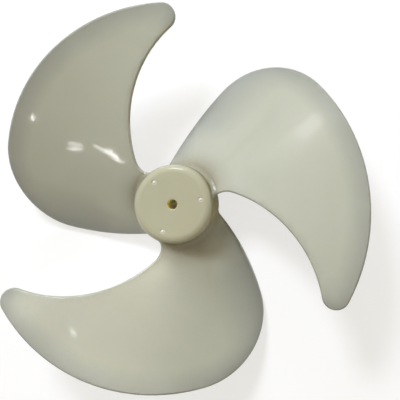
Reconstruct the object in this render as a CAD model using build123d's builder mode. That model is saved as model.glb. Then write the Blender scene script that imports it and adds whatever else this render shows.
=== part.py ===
from build123d import *
from math import cos, degrees, radians, sin
import os

# Hub: a cup, closed at the front and open at the back
hub_radius = 12.4
hub_depth = 19.2
hub_wall = 1.8
hub_front_wall = 2.2
shoulder_radius = 2.6
cup_corner_chamfer = 0.8
rim_chamfer = 0.4

# Shaft collet: a slit boss in the middle of the cup
bore_radius = 1.5
bore_front_chamfer = 0.3
bore_mouth_chamfer = 0.4
boss_radius = 4.0
boss_recess = 5.0
slit_count = 6
slit_width = 0.6
slit_depth = 6.0
slit_overrun = 0.5

# Gate marks: small nubs, each sunk in a shallow pit in the hub's front
gate_count = 3
gate_angle = 11.0
gate_pit_radius = 0.8
gate_margin = 0.1
gate_pit_depth = 0.3
gate_nub_radius = 0.5
gate_nub_height = 0.25
gate_nub_chamfer = 0.15

# Blades: how many, the angle of the first one's span, and the bevel all round their edges
blade_count = 3
first_blade_angle = 30.0
blade_edge_chamfer = 0.5

# Blade outline seen along the axis, span along X: three edge circles with rounded corners between
outer_edge_radius = 58.3
outer_edge_shift = 2.1
leading_edge_radius = 39.5
leading_edge_x = -10.7
leading_edge_y = -33.0
trailing_edge_radius = 86.0
trailing_edge_x = 55.0
trailing_edge_y = -55.5
tip_corner_radius = 4.0
lobe_corner_radius = 21.5
root_corner_radius = 6.0

# Blade sections across the span: level under the hub's front, pitch, camber radius, thickness
root_drop = 4.7
root_pitch_angle = 35.5
root_camber_radius = 62.0
root_thickness = 2.6
middle_drop = 5.4
middle_pitch_angle = 27.3
middle_camber_radius = 130.0
middle_thickness = 2.0
tip_rise = 2.5
tip_pitch_angle = 23.0
tip_camber_radius = 200.0
tip_thickness = 1.6
tip_overrun = 3.7

# Levels along the axis: zero is the collet's mouth, where the shaft goes in
front_level = hub_depth - boss_recess
rim_level = -boss_recess
cup_floor_level = front_level - hub_front_wall
cup_radius = hub_radius - hub_wall
root_seat_radius = hub_radius - hub_wall / 2
gate_circle_radius = hub_radius - shoulder_radius - gate_pit_radius - gate_margin
slit_reach = boss_radius + slit_overrun

# Reach of the strip a blade is cut from: out along the span, and ahead of and behind it
tip_span = outer_edge_radius + tip_overrun
middle_span = tip_span / 2
strip_reach = outer_edge_radius + outer_edge_shift

# Two lengths closer than this are taken as the same
match_tolerance = 0.001


def blade_section(span, level, pitch, camber_radius, thickness):
    """One cut across the blade: two concentric arcs, closed by a short line at each end."""
    centre = (-camber_radius * sin(radians(pitch)), level - camber_radius * cos(radians(pitch)))
    trailing_angle = 90 - pitch - degrees(strip_reach / camber_radius)
    strip_angle = degrees(2 * strip_reach / camber_radius)
    with BuildSketch(Plane.YZ.offset(span)) as section:
        with BuildLine():
            upper = CenterArc(centre, camber_radius + thickness / 2, trailing_angle, strip_angle)
            lower = CenterArc(centre, camber_radius - thickness / 2, trailing_angle, strip_angle)
            Line(upper @ 0, lower @ 0)
            Line(upper @ 1, lower @ 1)
        make_face()
    return section.sketch


def axis_distance(point):
    """How far a point is from the fan's axis."""
    return Vector(point.X, point.Y).length


def corners_on_cup(outline):
    """The corners where the blade's edges run into the cup's inner circle."""
    corners = outline.vertices()
    return corners.filter_by(lambda corner: abs(axis_distance(corner) - cup_radius) < match_tolerance)


root_section = blade_section(
    0,
    front_level - root_drop,
    root_pitch_angle,
    root_camber_radius,
    root_thickness,
)
middle_section = blade_section(
    middle_span,
    front_level - middle_drop,
    middle_pitch_angle,
    middle_camber_radius,
    middle_thickness,
)
tip_section = blade_section(
    tip_span,
    front_level + tip_rise,
    tip_pitch_angle,
    tip_camber_radius,
    tip_thickness,
)

# One blade: a twisted, cambered strip, trimmed to the outline
with BuildPart() as blade:
    loft([root_section, middle_section, tip_section])
    strip_box = blade.part.bounding_box()
    with BuildSketch(Plane.XY.offset(strip_box.min.Z)) as outline:
        with Locations((0, -outer_edge_shift)):
            Circle(outer_edge_radius)
        with Locations((trailing_edge_x, trailing_edge_y)):
            Circle(trailing_edge_radius, mode=Mode.INTERSECT)
        with Locations((leading_edge_x, leading_edge_y)):
            Circle(leading_edge_radius, mode=Mode.SUBTRACT)
        Circle(cup_radius)
        fillet(outline.vertices().sort_by(Axis.Y)[0], tip_corner_radius)
        fillet(outline.vertices().sort_by(Axis.Y)[-1], lobe_corner_radius)
        fillet(corners_on_cup(outline), root_corner_radius)
    extrude(amount=strip_box.size.Z, mode=Mode.INTERSECT)
    chamfer(blade.edges().filter_by(GeomType.BSPLINE), blade_edge_chamfer)
    with BuildSketch(Plane.XY.offset(strip_box.min.Z)) as root_cut:
        Circle(root_seat_radius)
    extrude(amount=strip_box.size.Z, mode=Mode.SUBTRACT)

# The fan: the hub cup with its collet boss, and the blades around it
with BuildPart() as fan_blade:
    with BuildSketch(Plane.XZ) as hub_section:
        with BuildLine():
            Polyline(
                (bore_radius, front_level),
                (hub_radius, front_level),
                (hub_radius, rim_level),
                (cup_radius, rim_level),
                (cup_radius, cup_floor_level),
                (boss_radius, cup_floor_level),
                (boss_radius, 0),
                (bore_radius, 0),
                close=True,
            )
        make_face()
    revolve(axis=Axis.Z)
    rings = fan_blade.edges().filter_by(GeomType.CIRCLE).group_by(Axis.Z)
    rim_rings, mouth_rings, floor_rings, front_rings = [level.sort_by(SortBy.RADIUS) for level in rings]
    chamfer(mouth_rings[0], bore_mouth_chamfer)
    chamfer(front_rings[0], bore_front_chamfer)
    fillet(front_rings[-1], shoulder_radius)
    chamfer(floor_rings, cup_corner_chamfer)
    chamfer(rim_rings, rim_chamfer)
    with PolarLocations(0, blade_count, start_angle=first_blade_angle):
        add(blade.part)
    with BuildSketch() as slits:
        with PolarLocations(slit_reach / 2, slit_count):
            Rectangle(slit_reach, slit_width)
    extrude(amount=slit_depth, mode=Mode.SUBTRACT)
    with BuildSketch(Plane.XY.offset(front_level)) as gate_pits:
        with PolarLocations(gate_circle_radius, gate_count, start_angle=gate_angle):
            Circle(gate_pit_radius)
    extrude(amount=-gate_pit_depth, mode=Mode.SUBTRACT)
    with BuildSketch(Plane.XY.offset(front_level - gate_pit_depth)) as gate_nubs:
        with PolarLocations(gate_circle_radius, gate_count, start_angle=gate_angle):
            Circle(gate_nub_radius)
    extrude(amount=gate_nub_height)
    chamfer(fan_blade.faces(Select.LAST).group_by(Axis.Z)[-1].edges(), gate_nub_chamfer)

os.makedirs("parts", exist_ok=True)
fan_blade.part.label = "fan_blade"
export_step(fan_blade.part, "parts/fan_blade.step")
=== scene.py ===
import logging
import math
from dataclasses import dataclass, field
from enum import Enum
from typing import Any, Optional

import bmesh
import bpy
from mathutils import Matrix, Vector
from mathutils.bvhtree import BVHTree
from mathutils.kdtree import KDTree


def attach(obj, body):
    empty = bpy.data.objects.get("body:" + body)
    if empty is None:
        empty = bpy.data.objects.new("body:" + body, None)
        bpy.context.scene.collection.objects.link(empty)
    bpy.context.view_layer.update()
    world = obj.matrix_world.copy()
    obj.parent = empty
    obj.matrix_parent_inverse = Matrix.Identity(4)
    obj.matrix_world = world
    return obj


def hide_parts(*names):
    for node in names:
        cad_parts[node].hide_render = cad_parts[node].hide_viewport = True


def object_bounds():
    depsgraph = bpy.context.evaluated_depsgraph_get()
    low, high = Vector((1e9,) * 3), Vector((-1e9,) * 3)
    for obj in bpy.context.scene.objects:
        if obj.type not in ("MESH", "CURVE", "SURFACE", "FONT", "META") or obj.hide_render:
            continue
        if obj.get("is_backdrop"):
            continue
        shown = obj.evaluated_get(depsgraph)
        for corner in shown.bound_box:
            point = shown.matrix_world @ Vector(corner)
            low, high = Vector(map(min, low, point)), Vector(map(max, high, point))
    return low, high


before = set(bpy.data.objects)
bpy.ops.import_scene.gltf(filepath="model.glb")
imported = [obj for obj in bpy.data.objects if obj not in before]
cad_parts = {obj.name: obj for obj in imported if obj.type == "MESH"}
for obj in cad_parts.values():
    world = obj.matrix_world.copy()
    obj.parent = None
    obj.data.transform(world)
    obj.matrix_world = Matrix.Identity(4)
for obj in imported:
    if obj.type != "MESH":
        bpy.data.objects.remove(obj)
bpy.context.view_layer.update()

logging.basicConfig(level=logging.INFO, format="%(message)s")
log = logging.getLogger("fan_blade_scene")

MM = 0.001
SHEEN_PLACE_MM = (-441.0, 375.0, 384.0)
POOL_PLACE_MM = (-82.0, 45.0, 700.0)

# A Mix node's colour sockets go by number, because its other sockets have the same names
MIX_SHARE = 0
MIX_FIRST = 6
MIX_SECOND = 7
MIX_RESULT = 2

Colour = tuple[float, float, float, float]
Point = tuple[float, float, float]


class Ray(Enum):
    """The kinds of ray that see the plain white background."""

    CAMERA = "Is Camera Ray"
    GLOSSY = "Is Glossy Ray"
    TRANSMISSION = "Is Transmission Ray"


def linear(code: str) -> Colour:
    """Turn an sRGB colour into the linear values that shaders work in.

    Args:
        code: The colour as six hex digits after a hash sign.

    Returns:
        Linear red, green and blue, with full alpha.
    """
    channels = [int(code[i:i + 2], 16) / 255 for i in (1, 3, 5)]
    red, green, blue = [c / 12.92 if c <= 0.04045 else ((c + 0.055) / 1.055) ** 2.4 for c in channels]
    return (red, green, blue, 1.0)


def add_node(tree: bpy.types.NodeTree, kind: str, settings: Optional[dict[str, Any]] = None,
             values: Optional[dict[Any, Any]] = None,
             links: Optional[dict[Any, Any]] = None) -> bpy.types.Node:
    """Add a shader node, set it up and feed its inputs.

    Args:
        tree: The node tree that gets the node.
        kind: The node's type name.
        settings: Properties of the node itself.
        values: Constants, by input name or number.
        links: Output sockets to feed in, by input name or number.

    Returns:
        The new node.
    """
    node = tree.nodes.new(kind)
    for name, value in (settings or {}).items():
        setattr(node, name, value)
    for name, value in (values or {}).items():
        node.inputs[name].default_value = value
    for name, socket in (links or {}).items():
        tree.links.new(socket, node.inputs[name])
    return node


def axis_reach(tree: bpy.types.NodeTree, place: bpy.types.NodeSocket) -> bpy.types.NodeSocket:
    """Measure how far the shaded point is from the fan's axis.

    Args:
        tree: The material's node tree.
        place: The coordinates of the point that is shaded.

    Returns:
        The socket that gives the distance.
    """
    flat = add_node(tree, "ShaderNodeVectorMath", settings={"operation": "MULTIPLY"},
                    values={1: (1.0, 1.0, 0.0)}, links={0: place})
    reach = add_node(tree, "ShaderNodeVectorMath", settings={"operation": "LENGTH"},
                     links={0: flat.outputs["Vector"]})
    return reach.outputs["Value"]


@dataclass(frozen=True)
class MouldedPlastic:
    """Ivory polypropylene, injection moulded in a polished tool.

    The polished tool leaves a glossy skin that is not quite flat, so highlights are soft and waver.
    The natural resin lets light in a little way, so thin blades look milky and thick stock warmer.
    """

    name: str = "ivory_plastic"
    thin_colour: str = "#ACAD9E"
    thick_colour: str = "#A7A58B"
    flow_colour: str = "#A5A695"
    # Painted shade: a grey strip along the blades' thin edges
    edge_shade_colour: str = "#80837C"
    edge_shade_mm: float = 7.5
    edge_shade_easing: float = 0.7
    edge_shade_layer: str = "edge_shade_mm"
    # Painted shade: a dark brown tint in the corners round the hub
    crevice_shade_colour: str = "#5A480C"
    crevice_shade_reach_mm: float = 9.0
    crevice_shade_open_share: float = 0.66
    crevice_shade_samples: int = 8
    # Painted light: the shaft hole's walls are bright yellow, so the hole looks lit through the plastic
    bore_light_colour: str = "#FFF0A0"
    bore_inside_mm: float = 1.55
    bore_outside_mm: float = 1.6
    # Gate marks paler: partly the plastic's whitening, partly a painted highlight on the nubs
    gate_whitening_and_highlight_colour: str = "#D9D7C8"
    gate_circle_mm: float = 8.9
    gate_level_mm: float = 14.2
    gate_angles: tuple[float, ...] = (11.0, 131.0, 251.0)
    gate_inside_mm: float = 0.7
    gate_outside_mm: float = 0.84
    haze: float = 0.38
    haze_spread: float = 0.06
    haze_detail: float = 3.0
    gloss: float = 0.6
    gloss_roughness: float = 0.06
    ior: float = 1.49
    glow: float = 0.25
    glow_radius_mm: Point = (3.0, 2.4, 1.4)
    flow_size_mm: float = 14.0
    flow_detail: float = 4.0
    flow_distortion: float = 0.6
    waver_size_mm: float = 9.0
    waver_height_mm: float = 0.03
    # The real grain is too fine to show, so it is drawn coarser
    skin_size_mm: float = 0.5
    skin_height_mm: float = 0.002
    face_mm: float = 11.0
    thick_inside_mm: float = 12.0
    thin_outside_mm: float = 16.0

    def material(self) -> bpy.types.Material:
        """Make the plastic's material.

        Returns:
            The material, ready for a piece's slot.
        """
        material = bpy.data.materials.new(self.name)
        material.use_nodes = True
        tree = material.node_tree
        tree.nodes.clear()
        place = add_node(tree, "ShaderNodeTexCoord").outputs["Object"]
        colour = self.colour(tree, place)
        bump = self.surface(tree, place)
        patches = add_node(
            tree, "ShaderNodeTexNoise",
            values={"Scale": 1 / (self.flow_size_mm * MM), "Detail": self.haze_detail},
            links={"Vector": place},
        )
        rough = add_node(
            tree, "ShaderNodeMapRange",
            values={"To Min": self.haze - self.haze_spread, "To Max": self.haze + self.haze_spread},
            links={"Value": patches.outputs["Fac"]},
        )
        shader = add_node(
            tree, "ShaderNodeBsdfPrincipled",
            values={
                "IOR": self.ior, "Subsurface Weight": self.glow, "Subsurface Scale": MM,
                "Subsurface Radius": self.glow_radius_mm, "Coat Weight": self.gloss,
                "Coat Roughness": self.gloss_roughness, "Coat IOR": self.ior,
            },
            links={
                "Base Color": colour, "Roughness": rough.outputs["Result"],
                "Normal": bump, "Coat Normal": bump,
            },
        )
        add_node(tree, "ShaderNodeOutputMaterial", links={"Surface": shader.outputs["BSDF"]})
        return material

    def colour(self, tree: bpy.types.NodeTree, place: bpy.types.NodeSocket) -> bpy.types.NodeSocket:
        """Colour the plastic: warm where it is thick, paler in the blades, with painted shade in the corners
        round the hub, painted light in the shaft hole and paler gate marks that are partly a painted
        highlight.

        Args:
            tree: The material's node tree.
            place: The coordinates of the point that is shaded.

        Returns:
            The socket that gives the colour.
        """
        reach = axis_reach(tree, place)
        off_hub = add_node(
            tree, "ShaderNodeMapRange", settings={"interpolation_type": "SMOOTHSTEP"},
            values={"From Min": self.thick_inside_mm * MM, "From Max": self.thin_outside_mm * MM},
            links={"Value": reach},
        )
        off_bore_light = add_node(
            tree, "ShaderNodeMapRange",
            values={"From Min": self.bore_inside_mm * MM, "From Max": self.bore_outside_mm * MM},
            links={"Value": reach},
        )
        # Thick stock, painted shade in corners, painted light in the hole, gate marks partly a painted
        # highlight
        layers = (
            (self.thick_colour, off_hub.outputs["Result"]),
            (self.crevice_shade_colour, self.off_crevice_shade(tree, reach)),
            (self.bore_light_colour, off_bore_light.outputs["Result"]),
            (self.gate_whitening_and_highlight_colour, self.off_whitened_highlit_gates(tree, place)),
        )
        colour = self.blade_colour(tree, place)
        for code, away in layers:
            colour = add_node(
                tree, "ShaderNodeMix", settings={"data_type": "RGBA"}, values={MIX_FIRST: linear(code)},
                links={MIX_SHARE: away, MIX_SECOND: colour},
            ).outputs[MIX_RESULT]
        return colour

    def blade_colour(self, tree: bpy.types.NodeTree, place: bpy.types.NodeSocket) -> bpy.types.NodeSocket:
        """Colour the blades: faint flow marks, and painted shade along their thin edges.

        Args:
            tree: The material's node tree.
            place: The coordinates of the point that is shaded.

        Returns:
            The socket that gives the colour.
        """
        flow = add_node(
            tree, "ShaderNodeTexNoise",
            values={
                "Scale": 1 / (self.flow_size_mm * MM), "Detail": self.flow_detail,
                "Distortion": self.flow_distortion,
            },
            links={"Vector": place},
        )
        marked = add_node(
            tree, "ShaderNodeMix", settings={"data_type": "RGBA"},
            values={MIX_FIRST: linear(self.thin_colour), MIX_SECOND: linear(self.flow_colour)},
            links={MIX_SHARE: flow.outputs["Fac"]},
        )
        # Painted shade along the blades' thin edges
        edge_shade_depth = add_node(tree, "ShaderNodeAttribute", settings={"attribute_name": self.edge_shade_layer})
        off_edge_shade = add_node(
            tree, "ShaderNodeMapRange", values={"From Max": self.edge_shade_mm}, links={"Value": edge_shade_depth.outputs["Fac"]},
        )
        eased = add_node(
            tree, "ShaderNodeMath", settings={"operation": "POWER"}, values={1: self.edge_shade_easing},
            links={0: off_edge_shade.outputs["Result"]},
        )
        edge_shaded = add_node(
            tree, "ShaderNodeMix", settings={"data_type": "RGBA"},
            values={MIX_FIRST: linear(self.edge_shade_colour)},
            links={MIX_SHARE: eased.outputs["Value"], MIX_SECOND: marked.outputs[MIX_RESULT]},
        )
        return edge_shaded.outputs[MIX_RESULT]

    def off_crevice_shade(self, tree: bpy.types.NodeTree, reach: bpy.types.NodeSocket) -> bpy.types.NodeSocket:
        """Find the shut-in corners round the hub, which get painted shade.

        Args:
            tree: The material's node tree.
            reach: The distance from the axis; the hub's face is left out.

        Returns:
            The socket that is 0 deep in a corner and 1 away from it.
        """
        open_sky = add_node(
            tree, "ShaderNodeAmbientOcclusion",
            settings={"samples": self.crevice_shade_samples, "only_local": True},
            values={"Distance": self.crevice_shade_reach_mm * MM},
        )
        on_face = add_node(
            tree, "ShaderNodeMapRange", settings={"interpolation_type": "SMOOTHSTEP"},
            values={"From Min": self.thick_inside_mm * MM, "From Max": self.face_mm * MM},
            links={"Value": reach},
        )
        either = add_node(
            tree, "ShaderNodeMath", settings={"operation": "ADD"},
            links={0: open_sky.outputs["AO"], 1: on_face.outputs["Result"]},
        )
        off_shaded_corner = add_node(
            tree, "ShaderNodeMapRange", settings={"interpolation_type": "SMOOTHSTEP"},
            values={"From Min": self.crevice_shade_open_share}, links={"Value": either.outputs["Value"]},
        )
        return off_shaded_corner.outputs["Result"]

    def off_whitened_highlit_gates(self, tree: bpy.types.NodeTree, place: bpy.types.NodeSocket) -> bpy.types.NodeSocket:
        """Find the torn gate marks, painted paler: partly the plastic's whitening where it was pulled, partly
        a painted highlight.

        Args:
            tree: The material's node tree.
            place: The coordinates of the point that is shaded.

        Returns:
            The socket that is 0 on a gate mark and 1 away from it.
        """
        nearest = None
        for angle in self.gate_angles:
            turn = math.radians(angle)
            spot = Vector((math.cos(turn), math.sin(turn), 0.0)) * self.gate_circle_mm * MM
            spot.z = self.gate_level_mm * MM
            away = add_node(
                tree, "ShaderNodeVectorMath", settings={"operation": "DISTANCE"}, values={1: spot},
                links={0: place},
            ).outputs["Value"]
            nearest = add_node(
                tree, "ShaderNodeMath", settings={"operation": "MINIMUM"},
                links={0: away, 1: nearest or away},
            ).outputs["Value"]
        off_nearest = add_node(
            tree, "ShaderNodeMapRange",
            values={"From Min": self.gate_inside_mm * MM, "From Max": self.gate_outside_mm * MM},
            links={"Value": nearest},
        )
        return off_nearest.outputs["Result"]

    def surface(self, tree: bpy.types.NodeTree, place: bpy.types.NodeSocket) -> bpy.types.NodeSocket:
        """Give the skin its slow waver and its fine grain.

        Args:
            tree: The material's node tree.
            place: The coordinates of the point that is shaded.

        Returns:
            The socket that gives the bumped normal.
        """
        waver = add_node(
            tree, "ShaderNodeTexNoise", values={"Scale": 1 / (self.waver_size_mm * MM), "Detail": 0.0},
            links={"Vector": place},
        )
        grain = add_node(
            tree, "ShaderNodeTexNoise", values={"Scale": 1 / (self.skin_size_mm * MM), "Detail": 1.0},
            links={"Vector": place},
        )
        slow = add_node(
            tree, "ShaderNodeBump", values={"Strength": 1.0, "Distance": self.waver_height_mm * MM},
            links={"Height": waver.outputs["Fac"]},
        )
        fine = add_node(
            tree, "ShaderNodeBump", values={"Strength": 1.0, "Distance": self.skin_height_mm * MM},
            links={"Height": grain.outputs["Fac"], "Normal": slow.outputs["Normal"]},
        )
        return fine.outputs["Normal"]


@dataclass(frozen=True)
class RootBlend:
    """The soft concave blend round each blade's root, where it runs into the hub's wall."""

    hub_radius_mm: float = 12.4
    reach_mm: float = 1.8
    spacing_mm: float = 0.5
    steps: int = 8
    least_points: int = 12
    lift_mm: float = 0.01
    fit_mm: float = 0.02
    facing_out: float = 0.98

    def add(self, body: bmesh.types.BMesh) -> int:
        """Lay the blends over the seams of a welded body.

        Args:
            body: The welded body, which gets the blends' faces.

        Returns:
            How many seams were found.
        """
        tree = BVHTree.FromBMesh(body)
        seams = self.seams(body)
        rows = [[self.section(tree, *point) for point in self.even(seam)] for seam in seams]
        for loop in rows:
            self.skin(body, loop)
        return len(seams)

    def on_hub(self, vert: bmesh.types.BMVert) -> bool:
        """Tell if a vertex lies on the hub's outer wall.

        Args:
            vert: The vertex.

        Returns:
            True if it does.
        """
        return abs(vert.co.xy.length - self.hub_radius_mm * MM) < self.fit_mm * MM

    def on_wall(self, face: bmesh.types.BMFace) -> bool:
        """Tell if a face is part of the hub's outer wall.

        Args:
            face: The face.

        Returns:
            True if all its corners lie on the wall and it faces straight out.
        """
        out = face.calc_center_median().xy.to_3d().normalized()
        return all(self.on_hub(vert) for vert in face.verts) and face.normal.dot(out) > self.facing_out

    def seams(self, body: bmesh.types.BMesh) -> list[list[tuple[Vector, Vector]]]:
        """Find the closed lines where blades meet the hub's wall.

        Args:
            body: The welded body.

        Returns:
            For each line its points in order, each with the blade's own normal there.
        """
        wall = {face for face in body.faces if self.on_wall(face)}
        edges = {
            edge for edge in body.edges
            if len(wall.intersection(edge.link_faces)) == 1 and not edge.is_convex
        }
        lines = []
        while edges:
            first = min(edges, key=lambda edge: edge.index)
            edges.remove(first)
            line = [first.verts[0], first.verts[1]]
            onward = True
            while onward:
                onward = next((edge for edge in line[-1].link_edges if edge in edges), None)
                if onward:
                    edges.remove(onward)
                    line.append(onward.other_vert(line[-1]))
            lines.append([(vert.co.copy(), self.blade_normal(vert, wall)) for vert in line[:-1]])
        return lines

    def blade_normal(self, vert: bmesh.types.BMVert, wall: set[bmesh.types.BMFace]) -> Vector:
        """Average the blade's faces round a seam vertex.

        Args:
            vert: The seam vertex.
            wall: The faces of the hub's wall, which are left out.

        Returns:
            The blade's normal there.
        """
        total = Vector()
        for face in vert.link_faces:
            if face not in wall:
                total += face.normal
        return total.normalized()

    def even(self, seam: list[tuple[Vector, Vector]]) -> list[tuple[Vector, Vector, Vector]]:
        """Space a closed line's points evenly.

        Args:
            seam: The line's points and normals.

        Returns:
            Evenly spaced points, each with the line's direction and the blade's normal.
        """
        ends = seam[1:] + seam[:1]
        lengths = [(b[0] - a[0]).length for a, b in zip(seam, ends)]
        count = max(self.least_points, round(sum(lengths) / (self.spacing_mm * MM)))
        step = sum(lengths) / count
        spaced = []
        walked = 0.0
        for (start, end), length in zip(zip(seam, ends), lengths):
            while len(spaced) < count and len(spaced) * step < walked + length:
                share = (len(spaced) * step - walked) / length
                spaced.append((start[0].lerp(end[0], share), start[1].lerp(end[1], share)))
            walked += length
        before = spaced[-1:] + spaced[:-1]
        after = spaced[1:] + spaced[:1]
        return [
            (here[0], (b[0] - a[0]).normalized(), (a[1] + here[1] + b[1]).normalized())
            for a, here, b in zip(before, spaced, after)
        ]

    def section(self, tree: BVHTree, point: Vector, along: Vector, normal: Vector) -> list[Vector]:
        """Draw the blend's curve at one point of a seam, from the hub's wall to the blade.

        Args:
            tree: The body's surface.
            point: The point on the seam.
            along: The seam's direction there.
            normal: The blade's normal there.

        Returns:
            The points of the curve.
        """
        out = point.xy.to_3d().normalized()
        up_wall = out.cross(along).normalized()
        up_wall = up_wall if up_wall.dot(normal) > 0 else -up_wall
        up_blade = normal.cross(along).normalized()
        up_blade = up_blade if up_blade.dot(out) > 0 else -up_blade
        reach = self.reach_mm * MM
        lift = self.lift_mm * MM
        start, end = [self.settle(tree, point + way * reach, lift) for way in (up_wall, up_blade)]
        shares = [i / self.steps for i in range(self.steps + 1)]
        return [start * (1 - u) ** 2 + point * 2 * u * (1 - u) + end * u ** 2 for u in shares]

    def settle(self, tree: BVHTree, point: Vector, lift: float) -> Vector:
        """Bring a point onto the body.

        Args:
            tree: The body's surface.
            point: The point.
            lift: How far above the surface it ends up.

        Returns:
            The nearest point of the surface, lifted.
        """
        near, facing, _, _ = tree.find_nearest(point)
        return near + facing * lift

    def skin(self, body: bmesh.types.BMesh, loop: list[list[Vector]]) -> None:
        """Skin a closed row of curves with faces that look outwards.

        Args:
            body: The body that gets the faces.
            loop: The curves, in order.
        """
        rows = [[body.verts.new(point) for point in curve] for curve in loop]
        faces = []
        for row, following in zip(rows, rows[1:] + rows[:1]):
            for i in range(self.steps):
                faces.append(body.faces.new((row[i], row[i + 1], following[i + 1], following[i])))
        bmesh.ops.recalc_face_normals(body, faces=faces)
        middle = faces[self.steps // 2]
        if middle.normal.dot(middle.calc_center_median().xy.to_3d()) < 0:
            bmesh.ops.reverse_faces(body, faces=faces)


@dataclass
class FanBlade:
    """The moulded fan: hub cup, collet and blades in one piece."""

    node: str = "fan_blade"
    name: str = "moulded_fan"
    crease_degrees: float = 50.0
    weld_mm: float = 0.0005
    blade_angles: tuple[float, ...] = (30.0, 150.0, 270.0)
    # Edge circles of a blade whose span is along X: centre and radius, seen along the axis
    leading_edge_mm: Point = (-10.7, -33.0, 39.5)
    trailing_edge_mm: Point = (55.0, -55.5, 86.0)
    edge_fit_mm: float = 1.0
    # How wide the painted edge shade runs along each kind of edge
    leading_edge_gain_mm: float = 5.0
    outer_edge_gain_mm: float = 0.5
    trailing_share: float = 0.55
    trailing_from_mm: float = 28.0
    edge_shade_from_mm: float = 16.1
    edge_shade_slope: float = 0.6
    blend: RootBlend = field(default_factory=RootBlend)
    finish: MouldedPlastic = field(default_factory=MouldedPlastic)

    def build(self) -> bpy.types.Object:
        """Weld a copy of the CAD node and shade it smooth up to its creases.

        Returns:
            The piece that stands for the CAD node.
        """
        mesh = bpy.data.meshes.new(self.name)
        body = bmesh.new()
        body.from_mesh(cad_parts[self.node].data)
        bmesh.ops.remove_doubles(body, verts=body.verts, dist=self.weld_mm * MM)
        bmesh.ops.recalc_face_normals(body, faces=body.faces)
        log.info("%s: %d blade roots blended", self.name, self.blend.add(body))
        self.mark_edge_shade(body)
        for edge in body.edges:
            edge.smooth = not edge.is_manifold or edge.calc_face_angle() < math.radians(self.crease_degrees)
        for face in body.faces:
            face.smooth = True
            face.material_index = 0
        body.to_mesh(mesh)
        body.free()
        piece = bpy.data.objects.new(self.name, mesh)
        bpy.context.scene.collection.objects.link(piece)
        weights = piece.modifiers.new("face_weighted", "WEIGHTED_NORMAL")
        weights.keep_sharp = True
        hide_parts(self.node)
        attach(piece, "root")
        return piece

    def off_circle(self, point: Vector, circle_mm: Point, angle: float) -> float:
        """Measure how far a point is outside an edge circle of a blade, seen along the axis.

        Args:
            point: The point.
            circle_mm: The circle's centre and radius, on a blade whose span is along X.
            angle: The angle of the blade's span.

        Returns:
            The distance in millimetres, below zero inside the circle.
        """
        x, y, radius = circle_mm
        centre = Matrix.Rotation(math.radians(angle), 2) @ Vector((x, y))
        return (point.xy / MM - centre).length - radius

    def on_leading_edge(self, point: Vector) -> bool:
        """Tell if a point lies on a blade's leading edge.

        Args:
            point: The point.

        Returns:
            True if it does.
        """
        distances = [self.off_circle(point, self.leading_edge_mm, angle) for angle in self.blade_angles]
        return any(abs(distance) < self.edge_fit_mm for distance in distances)

    def off_trailing_edge(self, point: Vector) -> float:
        """Measure how far a point of a blade is from that blade's trailing edge, seen along the axis.

        Args:
            point: The point.

        Returns:
            The distance in millimetres, or infinity for a point on no blade.
        """
        for angle in self.blade_angles:
            behind = self.off_circle(point, self.leading_edge_mm, angle)
            ahead = -self.off_circle(point, self.trailing_edge_mm, angle)
            if min(behind, ahead) > -self.edge_fit_mm:
                return max(ahead, 0.0)
        return math.inf

    def mark_edge_shade(self, body: bmesh.types.BMesh) -> None:
        """Note on each vertex how far it is from the blades' thin edges, in millimetres, for the painted edge
        shade.

        The painted shade strip is narrow along the leading edges, so those count as lying further off. It is
        wide along the trailing edges, so those count as nearer, but not close to the hub.

        Args:
            body: The welded body.
        """
        body.normal_update()
        sides = {
            vert for face in body.faces if abs(face.normal.z) < self.edge_shade_slope
            for vert in face.verts if vert.co.xy.length > self.edge_shade_from_mm * MM
        }
        leading = {vert for vert in sides if self.on_leading_edge(vert.co)}
        stout, thin = [self.nearest(verts) for verts in (leading, sides - leading)]
        layer = body.verts.layers.float.new(self.finish.edge_shade_layer)
        for vert in body.verts:
            root = max(0.0, self.trailing_from_mm - vert.co.xy.length / MM)
            vert[layer] = min(
                thin.find(vert.co)[2] / MM + self.outer_edge_gain_mm,
                stout.find(vert.co)[2] / MM + self.leading_edge_gain_mm,
                (self.off_trailing_edge(vert.co) + root) * self.trailing_share,
            )

    def nearest(self, verts: set[bmesh.types.BMVert]) -> KDTree:
        """Set vertices up to be searched by place.

        Args:
            verts: The vertices.

        Returns:
            The tree to search.
        """
        tree = KDTree(len(verts))
        for i, vert in enumerate(sorted(verts, key=lambda vert: vert.co[:])):
            tree.insert(vert.co, i)
        tree.balance()
        return tree

    def dress(self, piece: bpy.types.Object) -> None:
        """Give the piece its finish.

        Args:
            piece: The piece to dress.
        """
        piece.data.materials.clear()
        piece.data.materials.append(self.finish.material())


@dataclass(frozen=True)
class SoftLight:
    """A square or long studio light that looks at the hub or at an aim of its own.

    Broad lights only light the part, and the small reflected ones show up in its gloss.
    """

    name: str
    place_mm: Point
    side_mm: float
    watts: float
    along: Point = (1.0, 0.0, 0.0)
    length_mm: float = 0.0
    reflected: bool = False
    colour: str = "#FFFFFF"
    aim_mm: Optional[Point] = None
    spread_degrees: float = 180.0

    def build(self, target_mm: Point) -> bpy.types.Object:
        """Put the light in the scene.

        Args:
            target_mm: The point that the light looks at, unless it has an aim of its own.

        Returns:
            The light.
        """
        data = bpy.data.lights.new(self.name, "AREA")
        data.shape = "RECTANGLE"
        data.size = max(self.length_mm, self.side_mm) * MM
        data.size_y = self.side_mm * MM
        data.energy = self.watts
        data.spread = math.radians(self.spread_degrees)
        data.color = linear(self.colour)[:3]
        light = bpy.data.objects.new(self.name, data)
        light.location = Vector(self.place_mm) * MM
        light.visible_glossy = self.reflected
        back = (Vector(self.place_mm) - Vector(self.aim_mm or target_mm)).normalized()
        up = back.cross(Vector(self.along)).normalized()
        light.rotation_mode = "QUATERNION"
        light.rotation_quaternion = Matrix((up.cross(back), up, back)).transposed().to_quaternion()
        bpy.context.scene.collection.objects.link(light)
        return light


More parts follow.
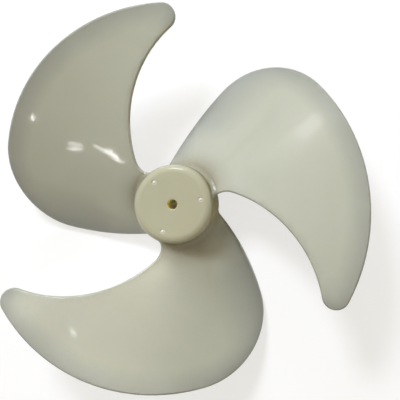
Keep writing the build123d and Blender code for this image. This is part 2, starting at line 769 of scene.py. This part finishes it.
@dataclass
class Studio:
    """A white sweep under soft light from the far side, with small lights that show in the gloss."""

    floor_side_mm: float = 6000.0
    floor_colour: str = "#FAFAFA"
    floor_glow: float = 0.7
    # Painted shadow: a warm dark spot on the floor under the shaft hole, left out of the glow
    shaft_shadow_colour: str = "#EBDDA8"
    shaft_shadow_place_mm: tuple[float, float] = (-3.0, -0.2)
    shaft_shadow_mm: float = 1.3
    shaft_shadow_fade_mm: float = 1.8
    ambient: float = 0.26
    ambient_colour: str = "#FFF0B0"
    background_colour: str = "#FFFFFF"
    target_mm: Point = (0.0, 0.0, 10.0)
    lights: tuple[SoftLight, ...] = (
        SoftLight("key", (-154.0, 392.0, 560.0), 160.0, 4.9, colour="#E9F0FF"),
        SoftLight("ceiling", (80.0, 80.0, 790.0), 500.0, 0.52, colour="#FFCE7C"),
        SoftLight("shoulder_line", (-62.0, 610.0, 307.0), 140.0, 1.3, (0.993, 0.033, 0.125), 230.0, True,
                  colour="#E9F0FF"),
        SoftLight("lower_pool", POOL_PLACE_MM, 30.0, 0.0012, aim_mm=(-15.0, -28.0, 15.0), spread_degrees=3.0),
        SoftLight("tip_pool", POOL_PLACE_MM, 12.0, 0.00032, aim_mm=(-44.0, -30.0, 18.0), spread_degrees=1.6),
        SoftLight("edge_pool", POOL_PLACE_MM, 6.0, 0.0001, aim_mm=(-6.0, -19.5, 13.0), spread_degrees=0.8),
        SoftLight("rim_pool", (-40.0, -10.0, 700.0), 6.0, 0.00032, (0.95, -0.31, 0.0), 40.0,
                  aim_mm=(-17.0, -53.0, 6.0), spread_degrees=1.0),
        SoftLight("sheen_core", SHEEN_PLACE_MM, 50.0, 0.04, reflected=True),
        SoftLight("sheen_inner", SHEEN_PLACE_MM, 110.0, 0.06, reflected=True),
        SoftLight("sheen_outer", SHEEN_PLACE_MM, 200.0, 0.08, reflected=True),
        SoftLight("left_glint", (-239.0, -486.0, 450.0), 4.5, 0.0215, (-0.48, -0.52, -0.71), 17.0, True),
        SoftLight("lower_glint", (127.0, 55.0, 698.0), 10.0, 0.0185, (0.76, 0.59, -0.28), 26.0, True),
        SoftLight("upper_dash", (-337.0, -476.0, 401.0), 6.0, 0.019, (-0.53, 0.75, 0.4), 22.0, True),
        SoftLight("lower_dash", (-347.0, -485.0, 382.0), 6.0, 0.0155, (-0.33, 0.73, 0.6), 18.0, True),
        SoftLight("streak_start", (-386.0, -432.0, 408.0), 9.0, 0.0175, (-0.82, 0.54, -0.19), 28.0, True),
        SoftLight("streak_middle", (-414.0, -422.0, 390.0), 9.0, 0.052, (-0.76, 0.13, -0.63), 46.0, True),
        SoftLight("streak_end", (-437.0, -421.5, 365.0), 6.0, 0.0095, (-0.47, -0.2, -0.86), 25.0, True),
    )

    def build(self) -> None:
        """Make the world, the floor and the lights."""
        self.build_world()
        self.build_floor()
        for light in self.lights:
            light.build(self.target_mm)

    def build_world(self) -> None:
        """White where the camera or a reflection sees the background, a lower even light elsewhere."""
        world = bpy.data.worlds.new("studio")
        world.use_nodes = True
        bpy.context.scene.world = world
        tree = world.node_tree
        tree.nodes.clear()
        path = add_node(tree, "ShaderNodeLightPath")
        seen = path.outputs[Ray.CAMERA.value]
        for ray in (Ray.GLOSSY, Ray.TRANSMISSION):
            seen = add_node(
                tree, "ShaderNodeMath", settings={"operation": "MAXIMUM"},
                links={0: seen, 1: path.outputs[ray.value]},
            ).outputs["Value"]
        even = add_node(tree, "ShaderNodeBackground",
                        values={"Color": linear(self.ambient_colour), "Strength": self.ambient})
        white = add_node(tree, "ShaderNodeBackground",
                         values={"Color": linear(self.background_colour), "Strength": 1.0})
        both = add_node(tree, "ShaderNodeMixShader",
                        links={0: seen, 1: even.outputs["Background"], 2: white.outputs["Background"]})
        add_node(tree, "ShaderNodeOutputWorld", links={"Surface": both.outputs["Shader"]})

    def build_floor(self) -> bpy.types.Object:
        """Lay the floor under the lowest point of the part.

        Returns:
            The floor.
        """
        mesh = bpy.data.meshes.new("floor")
        sheet = bmesh.new()
        bmesh.ops.create_grid(
            sheet, x_segments=1, y_segments=1, size=self.floor_side_mm * MM / 2,
            matrix=Matrix.Translation((0.0, 0.0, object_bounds()[0].z)),
        )
        sheet.to_mesh(mesh)
        sheet.free()
        floor = bpy.data.objects.new("floor", mesh)
        bpy.context.scene.collection.objects.link(floor)
        mesh.materials.append(self.floor_material())
        floor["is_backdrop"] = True
        return floor

    def floor_material(self) -> bpy.types.Material:
        """Make the floor's matt white, glowing white to the camera except for a painted shadow where it shows
        through the shaft hole.

        Returns:
            The floor's material.
        """
        material = bpy.data.materials.new("floor")
        material.use_nodes = True
        tree = material.node_tree
        tree.nodes.clear()
        seen = add_node(tree, "ShaderNodeLightPath").outputs[Ray.CAMERA.value]
        lit = add_node(tree, "ShaderNodeEmission",
                       values={"Color": linear(self.background_colour), "Strength": 1.0})
        place = add_node(tree, "ShaderNodeTexCoord").outputs["Object"]
        # The painted shadow spot on the floor under the shaft hole
        spot = Vector(self.shaft_shadow_place_mm).to_3d() * MM
        spot.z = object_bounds()[0].z
        away = add_node(
            tree, "ShaderNodeVectorMath", settings={"operation": "DISTANCE"}, values={1: spot},
            links={0: place},
        )
        off_shaft_shadow = add_node(
            tree, "ShaderNodeMapRange",
            values={"From Min": self.shaft_shadow_mm * MM, "From Max": self.shaft_shadow_fade_mm * MM},
            links={"Value": away.outputs["Value"]},
        ).outputs["Result"]
        tone = add_node(
            tree, "ShaderNodeMix", settings={"data_type": "RGBA"},
            values={MIX_FIRST: linear(self.shaft_shadow_colour), MIX_SECOND: linear(self.floor_colour)},
            links={MIX_SHARE: off_shaft_shadow},
        )
        matt = add_node(tree, "ShaderNodeBsdfDiffuse", links={"Color": tone.outputs[MIX_RESULT]})
        glow = add_node(tree, "ShaderNodeMath", settings={"operation": "MULTIPLY"},
                        values={1: self.floor_glow}, links={0: off_shaft_shadow})
        share = add_node(tree, "ShaderNodeMath", settings={"operation": "MULTIPLY"},
                         links={0: seen, 1: glow.outputs["Value"]})
        both = add_node(
            tree, "ShaderNodeMixShader",
            links={0: share.outputs["Value"], 1: matt.outputs["BSDF"], 2: lit.outputs["Emission"]},
        )
        add_node(tree, "ShaderNodeOutputMaterial", links={"Surface": both.outputs["Shader"]})
        return material


@dataclass(frozen=True)
class PhotoCamera:
    """The camera at the photo's angle: nearly along the axis, from a little to the right."""

    place_mm: Point = (40.64, 1.76, 257.17)
    right: Point = (0.9912, 0.0206, -0.1308)
    up: Point = (-0.0206, 0.9998, 0.0018)
    back: Point = (0.1308, 0.0009, 0.9914)
    lens_mm: float = 72.0
    sensor_mm: float = 36.0

    def build(self) -> bpy.types.Object:
        """Put the camera in the scene.

        Returns:
            The camera.
        """
        data = bpy.data.cameras.new("photo_camera")
        data.sensor_width = self.sensor_mm
        data.lens = self.lens_mm
        data.clip_start = MM
        camera = bpy.data.objects.new("photo_camera", data)
        turn = Matrix((self.right, self.up, self.back)).transposed()
        camera.rotation_mode = "QUATERNION"
        camera.rotation_quaternion = turn.to_quaternion()
        camera.location = Vector(self.place_mm) * MM
        bpy.context.scene.collection.objects.link(camera)
        bpy.context.scene.camera = camera
        return camera


def main() -> None:
    """Build the part, the studio and the camera."""
    fan = FanBlade()
    piece = fan.build()
    fan.dress(piece)
    log.info("%s: %d faces", piece.name, len(piece.data.polygons))
    Studio().build()
    log.info("studio: floor and lights")
    camera = PhotoCamera().build()
    log.info("%s: %.0f mm lens", camera.name, camera.data.lens)
    bpy.context.scene.view_settings.view_transform = "Standard"


if __name__ == "__main__":
    main()
